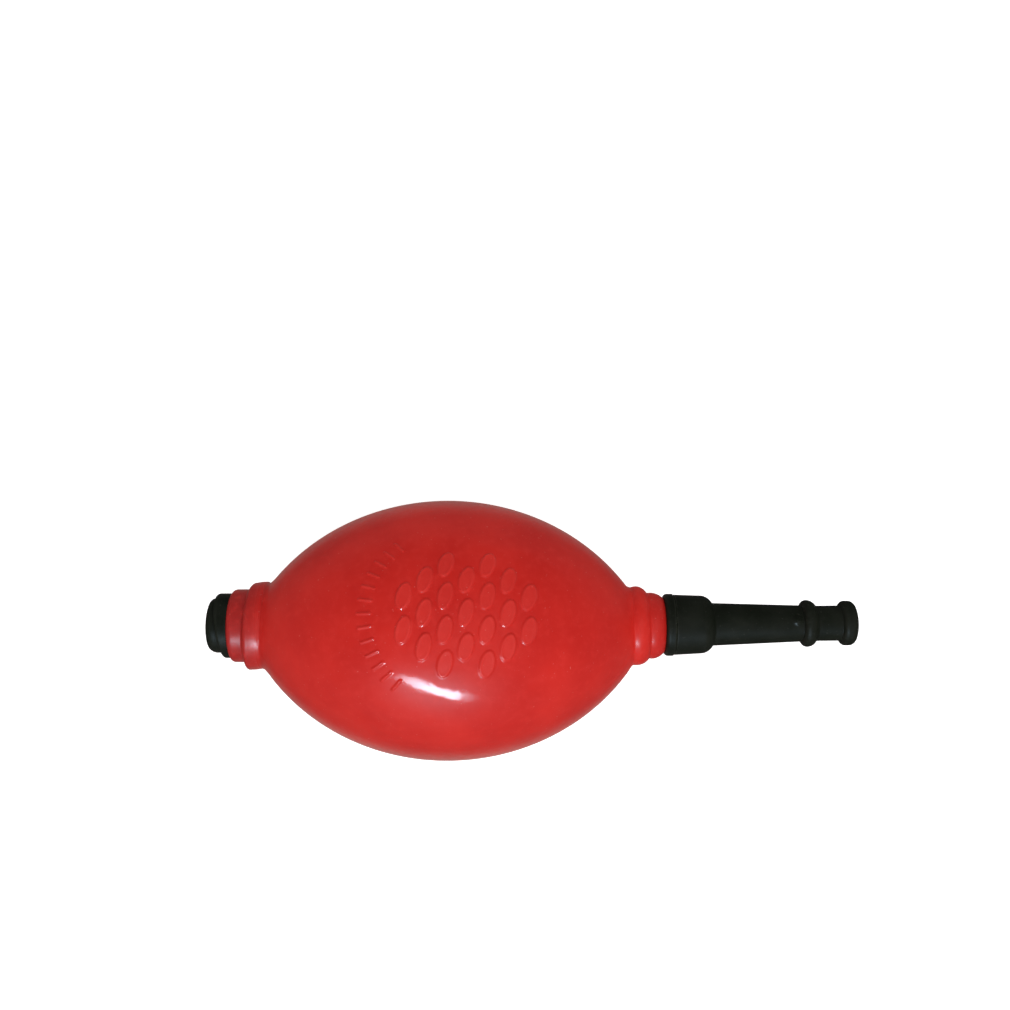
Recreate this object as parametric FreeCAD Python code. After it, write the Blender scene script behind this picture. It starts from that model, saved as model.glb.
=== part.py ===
import FreeCAD, Part
import math
import os
from FreeCAD import Vector

# Dust blower bulb: a hollow rubber bulb with a one-way valve in each neck and a push-on nozzle.
# Millimetres. The axis of the bulb is X, and +X points to the nozzle's mouth.
# The origin is the middle of the bulb, +Z is up and the bulb is squeezed along Y.
# Everything that is turned is drawn as an outline of (x, radius) points and revolved about X.

# ---------------------------------------------------------------- driving dimensions
# Bulb: its outline is the top of an ellipse whose centre lies below the axis.
BULB_RADIUS = 29.95
WIDEST_PLACE = 0.5
OUTLINE_HALF_LENGTH = 50.3
OUTLINE_HALF_HEIGHT = 45.7
WALL = 2.4
REAR_FLANK_END = -41.1
FRONT_FLANK_END = 42.9
REAR_NECK_END = -49.7
FRONT_NECK_END = 50.6

# Necks: two stepped rings behind, two round beads in front.
END_RING_RADIUS = 8.45
END_RING_EDGE = 1.2
BIG_RING_RADIUS = 10.15
BIG_RING_EDGE = 1.1
RING_STEP = -45.7
BIG_RING_START = -45.4
BIG_BEAD_RADIUS = 9.14
BIG_BEAD_CREST = 44.3
BEAD_GROOVE = 46.95
BEAD_GROOVE_RADIUS = 7.6
SMALL_BEAD_RADIUS = 7.45
SMALL_BEAD_MIDDLE = 48.9
NECK_MOUTH_RADIUS = 6.25

# Squeezed sides: an oval region of the bulb's wall on each side, cut through along Y.
PANEL_HALF_LENGTH = 22.0
PANEL_HALF_HEIGHT = 18.0
PANEL_GAP = 0.1

# Valves: both hold the same disc and the same cage in a chamber of the same size.
FLANGE_THICKNESS_REAR = 2.7
FLANGE_THICKNESS_FRONT = 2.3
FLANGE_RADIUS_REAR = 7.5
FLANGE_RADIUS_FRONT = 7.2
FLANGE_EDGE_REAR = 0.8
FLANGE_EDGE_FRONT = 0.9
STEM_RADIUS_REAR = 5.6
STEM_RADIUS_FRONT = 5.0
STEM_REACH = 10.0
STEM_LEAD = 0.5
FIRST_BARB = 2.2
BARBS = 2
BARB_HEIGHT = 0.4
BARB_LENGTH = 1.8
BARB_PITCH = 3.2
PORT_RADIUS = 2.6
CHAMBER_RADIUS = 4.2
SEAT_WIDTH = 0.4
SEAT_HEIGHT = 0.4
WEB_THICKNESS = 1.4
DISC_RADIUS = 3.8
DISC_THICKNESS = 0.8
DISC_RIM_ROUND = 0.25
DISC_LIFT = 1.2
CAGE_LENGTH = 3.4
CAGE_WALL = 0.7
CAGE_HUB_RADIUS = 1.3
CAGE_HUB_STAND_OFF = 1.0
CAGE_ARM_WIDTH = 0.8
CAGE_ARM_DEPTH = 2.0
CAGE_ARMS = 3

# Intake cap and screen.
CAP_RADIUS = 6.3
CAP_LENGTH = 2.5
CAP_EDGE = 1.6
CAP_SKIRT_RADIUS = 4.9
CAP_SKIRT_LENGTH = 0.9
CAP_CAVITY_RADIUS = 3.9
CAP_END_THICKNESS = 1.0
AIR_HOLE_RADIUS = 0.6
AIR_HOLE_CIRCLE = 2.5
AIR_HOLES = 6
SCREEN_THICKNESS = 0.3
SCREEN_RIM = 0.8
SCREEN_PITCH = 1.0
SCREEN_WIRE = 0.3

# Nozzle: socket over the spigot, shoulder, taper, bead, short neck, lip.
SPIGOT_RADIUS = 5.25
SPIGOT_LENGTH = 6.5
SPIGOT_CHAMFER = 0.4
SOCKET_GAP = 0.05
SOCKET_RADIUS_BACK = 7.0
SOCKET_RADIUS_FRONT = 6.7
SOCKET_LENGTH = 6.6
SHOULDER_START = 59.5
SHOULDER_END = 61.95
SHOULDER_MIDDLE = (61.0, 6.1)
TAPER_RADIUS_BACK = 4.95
TAPER_RADIUS_FRONT = 4.2
BEAD_START = 82.65
BEAD_CREST = 83.9
BEAD_END = 86.0
BEAD_RADIUS = 5.44
TIP_NECK_RADIUS = 4.09
LIP_RADIUS = 5.19
LIP_START = 91.65
LIP_LAND = 0.5
LIP_END_ROUND = 1.5
NOZZLE_END = 95.1
BORE_RADIUS = 2.5
BORE_LENGTH = 12.0
PASSAGE_RADIUS = 3.3

# ---------------------------------------------------------------- worked-out positions
# The centre of the outline's ellipse, as a radius: below zero, because the bulb is lemon shaped.
OUTLINE_CENTRE = BULB_RADIUS - OUTLINE_HALF_HEIGHT

REAR_FLANGE_END = REAR_NECK_END - FLANGE_THICKNESS_REAR
FRONT_FLANGE_END = FRONT_NECK_END + FLANGE_THICKNESS_FRONT
SPIGOT_END = FRONT_FLANGE_END + SPIGOT_LENGTH
SOCKET_END = FRONT_FLANGE_END + SOCKET_LENGTH

# Both valves open towards +X, so each disc rests on the +X side of its seat.
SCREEN_FACE = REAR_FLANGE_END + CAP_SKIRT_LENGTH
INTAKE_WEB = SCREEN_FACE + SCREEN_THICKNESS
INTAKE_FLOOR = INTAKE_WEB + WEB_THICKNESS
INTAKE_SEAT = INTAKE_FLOOR + SEAT_HEIGHT
OUTLET_FLOOR = FRONT_FLANGE_END - SEAT_HEIGHT
OUTLET_SEAT = OUTLET_FLOOR + SEAT_HEIGHT

ALONG = Vector(1, 0, 0)
ORIGIN = Vector(0, 0, 0)


# ---------------------------------------------------------------- shape helpers
def at(x, radius):
    """A point of an outline, in the plane that is revolved."""
    return Vector(x, radius, 0)


def line(start, end):
    return Part.makeLine(at(*start), at(*end))


def arc(start, through, end):
    return Part.Arc(at(*start), at(*through), at(*end)).toShape()


def corner_arc(corner, radius):
    """Quarter round in place of an outer corner, from the end face on its -X side up onto the rim."""
    x, rim = corner
    inset = radius * (1 - math.sqrt(0.5))
    return arc((x, rim - radius), (x + inset, rim - inset), (x + radius, rim))


def crest_arc(start, end):
    """Arc between a bead's foot and its crest, level with the axis where it meets the crest."""
    crest, foot = (start, end) if start[1] > end[1] else (end, start)
    across = foot[0] - crest[0]
    drop = crest[1] - foot[1]
    radius = (across ** 2 + drop ** 2) / (2 * drop)
    half_turn = math.atan2(drop, abs(across))
    middle_x = crest[0] + math.copysign(radius * math.sin(half_turn), across)
    middle = (middle_x, crest[1] - radius * (1 - math.cos(half_turn)))
    return arc(start, middle, end)


def revolved(edges):
    """Solid of revolution about X from the edges of a closed outline, in order."""
    face = Part.Face(Part.Wire(edges))
    return face.revolve(ORIGIN, ALONG, 360)


def turned(points):
    """Solid of revolution about X from the corners of a closed outline."""
    corners = zip(points, points[1:] + points[:1])
    return revolved([line(a, b) for a, b in corners])


def rod(radius, start, end):
    """A round bar along X."""
    return Part.makeCylinder(radius, end - start, at(start, 0), ALONG)


def ring(outer, inner, start, end):
    """A round tube along X."""
    return rod(outer, start, end).cut(rod(inner, start, end))


def rounded(shape, radius, edge_places):
    """Rounds the circular edges whose (x, radius) are listed."""
    tolerance = 0.01
    chosen = []
    for edge in shape.Edges:
        curve = edge.Curve
        if not isinstance(curve, Part.Circle):
            continue
        for x, edge_radius in edge_places:
            same_place = abs(curve.Center.x - x) < tolerance
            if same_place and abs(curve.Radius - edge_radius) < tolerance:
                chosen.append(edge)
    return shape.makeFillet(radius, chosen)


def flank_radius(x):
    """Radius of the bulb's outside at x."""
    share = (x - WIDEST_PLACE) / OUTLINE_HALF_LENGTH
    return OUTLINE_CENTRE + OUTLINE_HALF_HEIGHT * math.sqrt(1 - share ** 2)


def flank(start_x, end_x, inset=0.0):
    """Stretch of the bulb's elliptical outline from start_x to end_x, moved inwards by the inset."""
    half_length = OUTLINE_HALF_LENGTH - inset
    half_height = OUTLINE_HALF_HEIGHT - inset
    ellipse = Part.Ellipse(at(WIDEST_PLACE, OUTLINE_CENTRE), half_length, half_height)
    # The ellipse runs anticlockwise, so the +X end comes first.
    start_angle = math.acos((end_x - WIDEST_PLACE) / half_length)
    end_angle = math.acos((start_x - WIDEST_PLACE) / half_length)
    return Part.ArcOfEllipse(ellipse, start_angle, end_angle).toShape()


# ---------------------------------------------------------------- bulb
def bulb_outside():
    """The filled bulb with its necks, as one turned solid."""
    big_ring_top = BIG_RING_START + BIG_RING_EDGE
    rear_neck = [
        line((REAR_NECK_END, 0), (REAR_NECK_END, END_RING_RADIUS - END_RING_EDGE)),
        corner_arc((REAR_NECK_END, END_RING_RADIUS), END_RING_EDGE),
        line((REAR_NECK_END + END_RING_EDGE, END_RING_RADIUS), (RING_STEP, END_RING_RADIUS)),
        line((RING_STEP, END_RING_RADIUS), (BIG_RING_START, BIG_RING_RADIUS - BIG_RING_EDGE)),
        corner_arc((BIG_RING_START, BIG_RING_RADIUS), BIG_RING_EDGE),
        line((big_ring_top, BIG_RING_RADIUS), (REAR_FLANK_END, flank_radius(REAR_FLANK_END))),
    ]

    flank_end = (FRONT_FLANK_END, flank_radius(FRONT_FLANK_END))
    groove = (BEAD_GROOVE, BEAD_GROOVE_RADIUS)
    neck_mouth = (FRONT_NECK_END, NECK_MOUTH_RADIUS)
    front_neck = [
        arc(flank_end, (BIG_BEAD_CREST, BIG_BEAD_RADIUS), groove),
        arc(groove, (SMALL_BEAD_MIDDLE, SMALL_BEAD_RADIUS), neck_mouth),
        line(neck_mouth, (FRONT_NECK_END, 0)),
        line((FRONT_NECK_END, 0), (REAR_NECK_END, 0)),
    ]
    return revolved(rear_neck + [flank(REAR_FLANK_END, FRONT_FLANK_END)] + front_neck)


def bulb_cavity():
    """The air space: the outline moved in by the wall, closed where it reaches the two necks' bores."""
    half_length = OUTLINE_HALF_LENGTH - WALL
    half_height = OUTLINE_HALF_HEIGHT - WALL

    def reach(radius):
        share = (radius - OUTLINE_CENTRE) / half_height
        return half_length * math.sqrt(1 - share ** 2)

    rear_x = WIDEST_PLACE - reach(STEM_RADIUS_REAR)
    front_x = WIDEST_PLACE + reach(STEM_RADIUS_FRONT)
    return revolved([
        line((rear_x, 0), (rear_x, STEM_RADIUS_REAR)),
        flank(rear_x, front_x, WALL),
        line((front_x, STEM_RADIUS_FRONT), (front_x, 0)),
        line((front_x, 0), (rear_x, 0)),
    ])


def oval_prism(half_length, half_height, side):
    """Oval column along Y, from the bulb's axis out past one side of it."""
    oval = Part.Ellipse(ORIGIN, half_length, half_height).toShape()
    face = Part.Face(Part.Wire([oval]))
    face.rotate(ORIGIN, ALONG, 90)
    return face.extrude(Vector(0, side * (BULB_RADIUS + WALL), 0))


def bulb_parts(stems):
    """The bulb's frame and its two squeezed sides. The necks fit the stems that are pushed into them."""
    wall = bulb_outside().cut(bulb_cavity())
    for stem in stems:
        wall = wall.cut(stem)
    thumb = wall.common(oval_prism(PANEL_HALF_LENGTH, PANEL_HALF_HEIGHT, -1))
    fingers = wall.common(oval_prism(PANEL_HALF_LENGTH, PANEL_HALF_HEIGHT, 1))
    opening_length = PANEL_HALF_LENGTH + PANEL_GAP
    opening_height = PANEL_HALF_HEIGHT + PANEL_GAP
    for side in (-1, 1):
        wall = wall.cut(oval_prism(opening_length, opening_height, side))
    return wall, thumb, fingers


# ---------------------------------------------------------------- valves
def stem(radius, neck_end, direction):
    """Solid barbed stem from a neck's end face into the bulb. Direction is the way it was pushed in."""
    def x(depth):
        return neck_end + direction * depth

    points = [(x(0), 0), (x(0), radius)]
    for barb in range(BARBS):
        start = FIRST_BARB + barb * BARB_PITCH
        points += [
            (x(start), radius),
            (x(start), radius + BARB_HEIGHT),
            (x(start + BARB_LENGTH), radius),
        ]
    points += [
        (x(STEM_REACH - STEM_LEAD), radius),
        (x(STEM_REACH), radius - STEM_LEAD),
        (x(STEM_REACH), 0),
    ]
    return turned(points)


def seat(floor):
    """Raised ring that the disc closes on, standing on the chamber's floor towards +X."""
    return ring(PORT_RADIUS + SEAT_WIDTH, PORT_RADIUS, floor, floor + SEAT_HEIGHT)


def intake_valve_housing(solid_stem):
    """Rear plug: flange, barbed stem, recess for the screen and cap outside, valve chamber inside."""
    stem_end = REAR_NECK_END + STEM_REACH
    flange = rod(FLANGE_RADIUS_REAR, REAR_FLANGE_END, REAR_NECK_END)
    flange = rounded(flange, FLANGE_EDGE_REAR, [(REAR_FLANGE_END, FLANGE_RADIUS_REAR)])
    body = solid_stem.fuse(flange)
    body = body.cut(rod(CAP_SKIRT_RADIUS, REAR_FLANGE_END, INTAKE_WEB))
    body = body.cut(rod(PORT_RADIUS, INTAKE_WEB, INTAKE_FLOOR))
    body = body.cut(rod(CHAMBER_RADIUS, INTAKE_FLOOR, stem_end))
    return body.fuse(seat(INTAKE_FLOOR)).removeSplitter()


def outlet_valve_housing(solid_stem):
    """Front plug: barbed stem, flange, and the spigot that carries the nozzle and holds the valve."""
    stem_end = FRONT_NECK_END - STEM_REACH
    flange = rod(FLANGE_RADIUS_FRONT, FRONT_NECK_END, FRONT_FLANGE_END)
    flange_edges = [(FRONT_NECK_END, FLANGE_RADIUS_FRONT), (FRONT_FLANGE_END, FLANGE_RADIUS_FRONT)]
    flange = rounded(flange, FLANGE_EDGE_FRONT, flange_edges)
    spigot = turned([
        (FRONT_FLANGE_END, 0),
        (FRONT_FLANGE_END, SPIGOT_RADIUS),
        (SPIGOT_END - SPIGOT_CHAMFER, SPIGOT_RADIUS),
        (SPIGOT_END, SPIGOT_RADIUS - SPIGOT_CHAMFER),
        (SPIGOT_END, 0),
    ])
    body = solid_stem.fuse([flange, spigot])
    body = body.cut(rod(PORT_RADIUS, stem_end, OUTLET_FLOOR))
    body = body.cut(rod(CHAMBER_RADIUS, OUTLET_FLOOR, SPIGOT_END))
    return body.fuse(seat(OUTLET_FLOOR)).removeSplitter()


def valve_disc(seat_face):
    """Flat rubber disc with a rounded rim, resting on the seat."""
    disc = rod(DISC_RADIUS, seat_face, seat_face + DISC_THICKNESS)
    rim = [(seat_face, DISC_RADIUS), (seat_face + DISC_THICKNESS, DISC_RADIUS)]
    return rounded(disc, DISC_RIM_ROUND, rim)


def valve_cage(seat_face):
    """Ring pressed into the chamber, with a hub on three arms that stops the disc's lift."""
    stop = seat_face + DISC_THICKNESS + DISC_LIFT
    ring_start = stop + CAGE_HUB_STAND_OFF
    ring_end = ring_start + CAGE_LENGTH
    cage = ring(CHAMBER_RADIUS, CHAMBER_RADIUS - CAGE_WALL, ring_start, ring_end)
    cage = cage.fuse(rod(CAGE_HUB_RADIUS, stop, ring_start + CAGE_ARM_DEPTH))
    arm_reach = CHAMBER_RADIUS - CAGE_WALL / 2
    for number in range(CAGE_ARMS):
        corner = Vector(ring_start, -CAGE_ARM_WIDTH / 2, 0)
        arm = Part.makeBox(CAGE_ARM_DEPTH, CAGE_ARM_WIDTH, arm_reach, corner)
        arm.rotate(ORIGIN, ALONG, number * 360 / CAGE_ARMS)
        cage = cage.fuse(arm)
    return cage.removeSplitter()


def intake_cap():
    """Snap-in end cap with a domed edge, a skirt that holds the screen, and air holes in its face."""
    face = REAR_FLANGE_END - CAP_LENGTH
    outline = [
        line((face, 0), (face, CAP_RADIUS - CAP_EDGE)),
        corner_arc((face, CAP_RADIUS), CAP_EDGE),
        line((face + CAP_EDGE, CAP_RADIUS), (REAR_FLANGE_END, CAP_RADIUS)),
        line((REAR_FLANGE_END, CAP_RADIUS), (REAR_FLANGE_END, CAP_SKIRT_RADIUS)),
        line((REAR_FLANGE_END, CAP_SKIRT_RADIUS), (SCREEN_FACE, CAP_SKIRT_RADIUS)),
        line((SCREEN_FACE, CAP_SKIRT_RADIUS), (SCREEN_FACE, 0)),
        line((SCREEN_FACE, 0), (face, 0)),
    ]
    cap = revolved(outline)
    cap = cap.cut(rod(CAP_CAVITY_RADIUS, face + CAP_END_THICKNESS, SCREEN_FACE))
    cap = cap.cut(rod(AIR_HOLE_RADIUS, face, face + CAP_END_THICKNESS))
    for number in range(AIR_HOLES):
        hole = rod(AIR_HOLE_RADIUS, face, face + CAP_END_THICKNESS)
        hole.translate(Vector(0, 0, AIR_HOLE_CIRCLE))
        hole.rotate(ORIGIN, ALONG, number * 360 / AIR_HOLES)
        cap = cap.cut(hole)
    return cap


def intake_screen():
    """Round gauze with a solid rim, clamped between the cap's skirt and the housing."""
    rim = ring(CAP_SKIRT_RADIUS, CAP_SKIRT_RADIUS - SCREEN_RIM, SCREEN_FACE, INTAKE_WEB)
    mesh_radius = CAP_SKIRT_RADIUS - SCREEN_RIM / 2
    opening = rod(mesh_radius, SCREEN_FACE, INTAKE_WEB)
    count = int(mesh_radius / SCREEN_PITCH)
    wires = []
    for number in range(-count, count + 1):
        offset = number * SCREEN_PITCH - SCREEN_WIRE / 2
        upright = Vector(SCREEN_FACE, offset, -mesh_radius)
        across = Vector(SCREEN_FACE, -mesh_radius, offset)
        wires.append(Part.makeBox(SCREEN_THICKNESS, SCREEN_WIRE, 2 * mesh_radius, upright))
        wires.append(Part.makeBox(SCREEN_THICKNESS, 2 * mesh_radius, SCREEN_WIRE, across))
    grid = wires[0].fuse(wires[1:]).common(opening)
    return rim.fuse(grid).removeSplitter()


# ---------------------------------------------------------------- nozzle
def nozzle_outside():
    """The nozzle as a filled solid: socket, shoulder, taper, bead, short neck and rounded lip."""
    socket_back = (FRONT_FLANGE_END, SOCKET_RADIUS_BACK)
    shoulder_start = (SHOULDER_START, SOCKET_RADIUS_FRONT)
    taper_start = (SHOULDER_END, TAPER_RADIUS_BACK)
    taper_end = (BEAD_START, TAPER_RADIUS_FRONT)
    bead_crest = (BEAD_CREST, BEAD_RADIUS)
    bead_end = (BEAD_END, TIP_NECK_RADIUS)
    lip_start = (LIP_START, TIP_NECK_RADIUS)
    land_end = (NOZZLE_END - LIP_END_ROUND, LIP_RADIUS)
    land_start = (land_end[0] - LIP_LAND, LIP_RADIUS)
    mouth = (NOZZLE_END, LIP_RADIUS - LIP_END_ROUND)
    return revolved([
        line((FRONT_FLANGE_END, 0), socket_back),
        line(socket_back, shoulder_start),
        arc(shoulder_start, SHOULDER_MIDDLE, taper_start),
        line(taper_start, taper_end),
        crest_arc(taper_end, bead_crest),
        crest_arc(bead_crest, bead_end),
        line(bead_end, lip_start),
        crest_arc(lip_start, land_start),
        line(land_start, land_end),
        crest_arc(land_end, mouth),
        line(mouth, (NOZZLE_END, 0)),
        line((NOZZLE_END, 0), (FRONT_FLANGE_END, 0)),
    ])


def nozzle():
    """Push-on nozzle: its socket slides over the spigot, and its bore narrows towards the mouth."""
    socket_bore = SPIGOT_RADIUS + SOCKET_GAP
    passage = turned([
        (FRONT_FLANGE_END, 0),
        (FRONT_FLANGE_END, socket_bore),
        (SOCKET_END, socket_bore),
        (SHOULDER_END, PASSAGE_RADIUS),
        (NOZZLE_END - BORE_LENGTH, BORE_RADIUS),
        (NOZZLE_END, BORE_RADIUS),
        (NOZZLE_END, 0),
    ])
    return nozzle_outside().cut(passage)


# ---------------------------------------------------------------- assembly
def blower():
    """Every node of the blower, by name."""
    rear_stem = stem(STEM_RADIUS_REAR, REAR_NECK_END, 1)
    front_stem = stem(STEM_RADIUS_FRONT, FRONT_NECK_END, -1)
    bulb, thumb, fingers = bulb_parts([rear_stem, front_stem])
    return {
        "bulb": bulb,
        "bulb_thumb_side": thumb,
        "bulb_finger_side": fingers,
        "intake_valve_housing": intake_valve_housing(rear_stem),
        "intake_cap": intake_cap(),
        "intake_screen": intake_screen(),
        "intake_valve_disc": valve_disc(INTAKE_SEAT),
        "intake_valve_cage": valve_cage(INTAKE_SEAT),
        "outlet_valve_housing": outlet_valve_housing(front_stem),
        "outlet_valve_disc": valve_disc(OUTLET_SEAT),
        "outlet_valve_cage": valve_cage(OUTLET_SEAT),
        "nozzle": nozzle(),
    }


os.makedirs("parts", exist_ok=True)
for node, shape in blower().items():
    solids = shape.Solids
    if len(solids) != 1 or not shape.isValid():
        raise ValueError(f"{node} has {len(solids)} solids, valid: {shape.isValid()}")
    solids[0].exportStep(f"parts/{node}.step")
    print(f"{node}: {solids[0].Volume:.1f} cubic mm")
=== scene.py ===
import math

import bpy
import numpy as np
from mathutils import Matrix, Vector
from mathutils.geometry import delaunay_2d_cdt


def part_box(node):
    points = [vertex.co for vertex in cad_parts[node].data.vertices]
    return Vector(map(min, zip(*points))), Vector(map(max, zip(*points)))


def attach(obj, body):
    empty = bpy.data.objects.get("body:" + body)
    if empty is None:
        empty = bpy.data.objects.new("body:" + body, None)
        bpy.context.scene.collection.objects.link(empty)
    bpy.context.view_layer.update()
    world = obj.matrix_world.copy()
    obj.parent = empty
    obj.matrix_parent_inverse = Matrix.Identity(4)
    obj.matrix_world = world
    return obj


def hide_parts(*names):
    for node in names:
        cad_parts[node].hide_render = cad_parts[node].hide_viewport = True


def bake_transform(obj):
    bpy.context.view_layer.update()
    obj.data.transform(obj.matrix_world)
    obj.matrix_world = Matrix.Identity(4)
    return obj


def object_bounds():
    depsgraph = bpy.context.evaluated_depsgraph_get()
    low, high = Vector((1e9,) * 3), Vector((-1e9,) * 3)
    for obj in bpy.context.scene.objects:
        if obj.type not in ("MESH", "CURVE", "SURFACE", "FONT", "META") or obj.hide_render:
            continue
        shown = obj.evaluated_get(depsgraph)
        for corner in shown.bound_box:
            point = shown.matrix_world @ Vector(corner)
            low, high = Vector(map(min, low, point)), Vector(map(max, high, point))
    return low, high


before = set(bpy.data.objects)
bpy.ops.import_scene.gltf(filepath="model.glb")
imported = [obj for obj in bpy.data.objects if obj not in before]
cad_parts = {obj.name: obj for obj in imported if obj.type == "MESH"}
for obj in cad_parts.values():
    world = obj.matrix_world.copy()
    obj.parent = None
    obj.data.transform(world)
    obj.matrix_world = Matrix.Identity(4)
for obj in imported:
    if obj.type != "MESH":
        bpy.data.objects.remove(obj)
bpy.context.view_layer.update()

# Looks of the dust blower bulb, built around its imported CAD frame.
# Sizes are in millimetres until a mesh is made. The axis of the bulb is X, and the nozzle points to +X.
# Everything turned is an outline of (x, radius) points. An outline runs towards +X along the outside
# of its piece and back along the inside, so that its faces look outwards.
# A place on the bulb is (x, angle), with the angle measured from +Z towards +Y.

MM = 0.001


def box_mm(node):
    """Lowest and highest corner of a CAD node, in millimetres."""
    low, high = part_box(node)
    return low / MM, high / MM


# ---------------------------------------------------------------- sizes from the frame
bulb_low, bulb_high = box_mm("bulb")
cap_low, cap_high = box_mm("intake_cap")
intake_low, intake_high = box_mm("intake_valve_housing")
outlet_low, outlet_high = box_mm("outlet_valve_housing")
nozzle_low, nozzle_high = box_mm("nozzle")

BULB_RADIUS = bulb_high.z
REAR_NECK_END = bulb_low.x
FRONT_NECK_END = bulb_high.x

# Bulb: its outline is the top of an ellipse centred below the axis.
WIDEST_PLACE = 0.5
OUTLINE_HALF_LENGTH = 50.3
OUTLINE_HALF_HEIGHT = 45.7
OUTLINE_CENTRE = BULB_RADIUS - OUTLINE_HALF_HEIGHT
WALL = 2.4
REAR_FLANK_END = -41.4
FRONT_FLANK_END = 42.9
BODY_OFFSET = 0.85       # the bulb's body is this far to -Y of its two necks
PLUG_LEAN = 0.13         # slope of the crooked step between the rear plug's flange and cap
NOZZLE_LEAN = math.radians(0.57)
NOZZLE_LEAN_START = 33.0  # the front pieces are turned about this place on the axis

# Stems of the two valve housings, and the bores that hold them.
REAR_STEM_RADIUS = 5.6
FRONT_STEM_RADIUS = 5.0
STEM_REACH = 10.0
STEM_LEAD = 0.5
FIRST_BARB = 2.2
BARB_PITCH = 3.2
BARB_LENGTH = 1.8
BARB_HEIGHT = 0.4

# Valve chambers.
PORT_RADIUS = 2.6
CHAMBER_RADIUS = 4.2
SEAT_RADIUS = 3.0
SEAT_HEIGHT = 0.4
WEB_THICKNESS = 1.4
RECESS_RADIUS = 4.9
RECESS_DEPTH = 1.2

# Raised mark on top of the bulb: a round patch of grip pads inside an arc of short bars.
MARK_X = 5.6
MARK_ANGLE = math.radians(11)
RELIEF_HEIGHT = 0.24
PATCH_RADIUS = 14.0
PAD_COLUMN = 4.4
PAD_ROW = 7.2
PAD_LEAN = math.radians(14)
PAD_HALF_LENGTH = 3.2
PAD_HALF_WIDTH = 1.8
BARS_X = 4.4
BARS_RADIUS = 20.5
BARS_FIRST_TURN = math.radians(131)
BARS_LAST_TURN = math.radians(229)
BAR_COUNT = 13
BAR_HALF_LENGTH = 1.35   # of a bar's straight part, without its round ends
BAR_HALF_WIDTH = 0.42

# Turned pieces.
SEGMENTS = 144           # faces around a turned piece
SHARP_ANGLE = math.radians(50)


# ---------------------------------------------------------------- outlines
SUPPORT = 0.1            # distance of the supporting points from the ends of a straight run
LONGEST_STEP = 1.6
CURVE = -1               # stands in place of a corner's rounding where the corner belongs to a curve


def straight(start, end):
    """Points after start up to end, with supporting points near both ends of a long run."""
    start = np.array(start, float)
    end = np.array(end, float)
    length = np.linalg.norm(end - start)
    if length < 4 * SUPPORT:
        return [end]
    margin = SUPPORT / length
    steps = math.ceil((length - 2 * SUPPORT) / LONGEST_STEP)
    shares = [*np.linspace(margin, 1 - margin, steps + 1), 1]
    return [start + (end - start) * share for share in shares]


def arc_through(start, middle, end, steps):
    """Corners along the circular arc from start through middle to end."""
    (ax, ay), (bx, by), (cx, cy) = start, middle, end
    twice_area = 2 * (ax * (by - cy) + bx * (cy - ay) + cx * (ay - by))
    a2, b2, c2 = ax * ax + ay * ay, bx * bx + by * by, cx * cx + cy * cy
    centre_x = (a2 * (by - cy) + b2 * (cy - ay) + c2 * (ay - by)) / twice_area
    centre_y = (a2 * (cx - bx) + b2 * (ax - cx) + c2 * (bx - ax)) / twice_area
    radius = math.hypot(ax - centre_x, ay - centre_y)
    first = math.atan2(ay - centre_y, ax - centre_x)
    last = math.atan2(cy - centre_y, cx - centre_x)
    half = math.atan2(by - centre_y, bx - centre_x)
    turn = (last - first) % (2 * math.pi)
    if (half - first) % (2 * math.pi) > turn:
        turn -= 2 * math.pi
    angles = [first + turn * step / steps for step in range(steps + 1)]
    return [(centre_x + radius * math.cos(a), centre_y + radius * math.sin(a), CURVE) for a in angles]


def fillet(before, corner, after, rounding, steps):
    """Points of the round that replaces a corner."""
    back = (before - corner) / np.linalg.norm(before - corner)
    on = (after - corner) / np.linalg.norm(after - corner)
    half_angle = math.acos(np.clip(back @ on, -1, 1)) / 2
    middle = (back + on) / np.linalg.norm(back + on)
    centre = corner + middle * rounding / math.sin(half_angle)
    start = corner + back * rounding / math.tan(half_angle) - centre
    end = corner + on * rounding / math.tan(half_angle) - centre
    first = math.atan2(start[1], start[0])
    turn = (math.atan2(end[1], end[0]) - first + math.pi) % (2 * math.pi) - math.pi
    angles = first + turn * np.arange(steps + 1) / steps
    return [centre + rounding * np.array((math.cos(a), math.sin(a))) for a in angles]


def outline_points(corners, closed=True, steps=6):
    """Outline from (x, radius, rounding) corners, as an array of (x, radius) points."""
    places = [np.array(corner[:2], float) for corner in corners]
    points = []
    for number, corner in enumerate(corners):
        if corner[2] > 0:
            after = places[(number + 1) % len(places)]
            new = fillet(places[number - 1], places[number], after, corner[2], steps)
        else:
            new = [places[number]]
        along_curve = corner[2] == CURVE and corners[number - 1][2] == CURVE
        if not points or along_curve:
            points += new
        else:
            points += straight(points[-1], new[0]) + new[1:]
    if closed:
        points += straight(points[-1], points[0])[:-1]
    return np.array(points)


def barbed_stem(neck_end, direction, radius):
    """Corners along a barbed stem, from the neck's end face inwards."""
    def x(depth):
        return neck_end + direction * depth

    second = FIRST_BARB + BARB_PITCH
    return [
        (x(0), radius, 0),
        (x(FIRST_BARB), radius, 0),
        (x(FIRST_BARB), radius + BARB_HEIGHT, 0),
        (x(FIRST_BARB + BARB_LENGTH), radius, 0),
        (x(second), radius, 0),
        (x(second), radius + BARB_HEIGHT, 0),
        (x(second + BARB_LENGTH), radius, 0),
    ]


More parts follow.
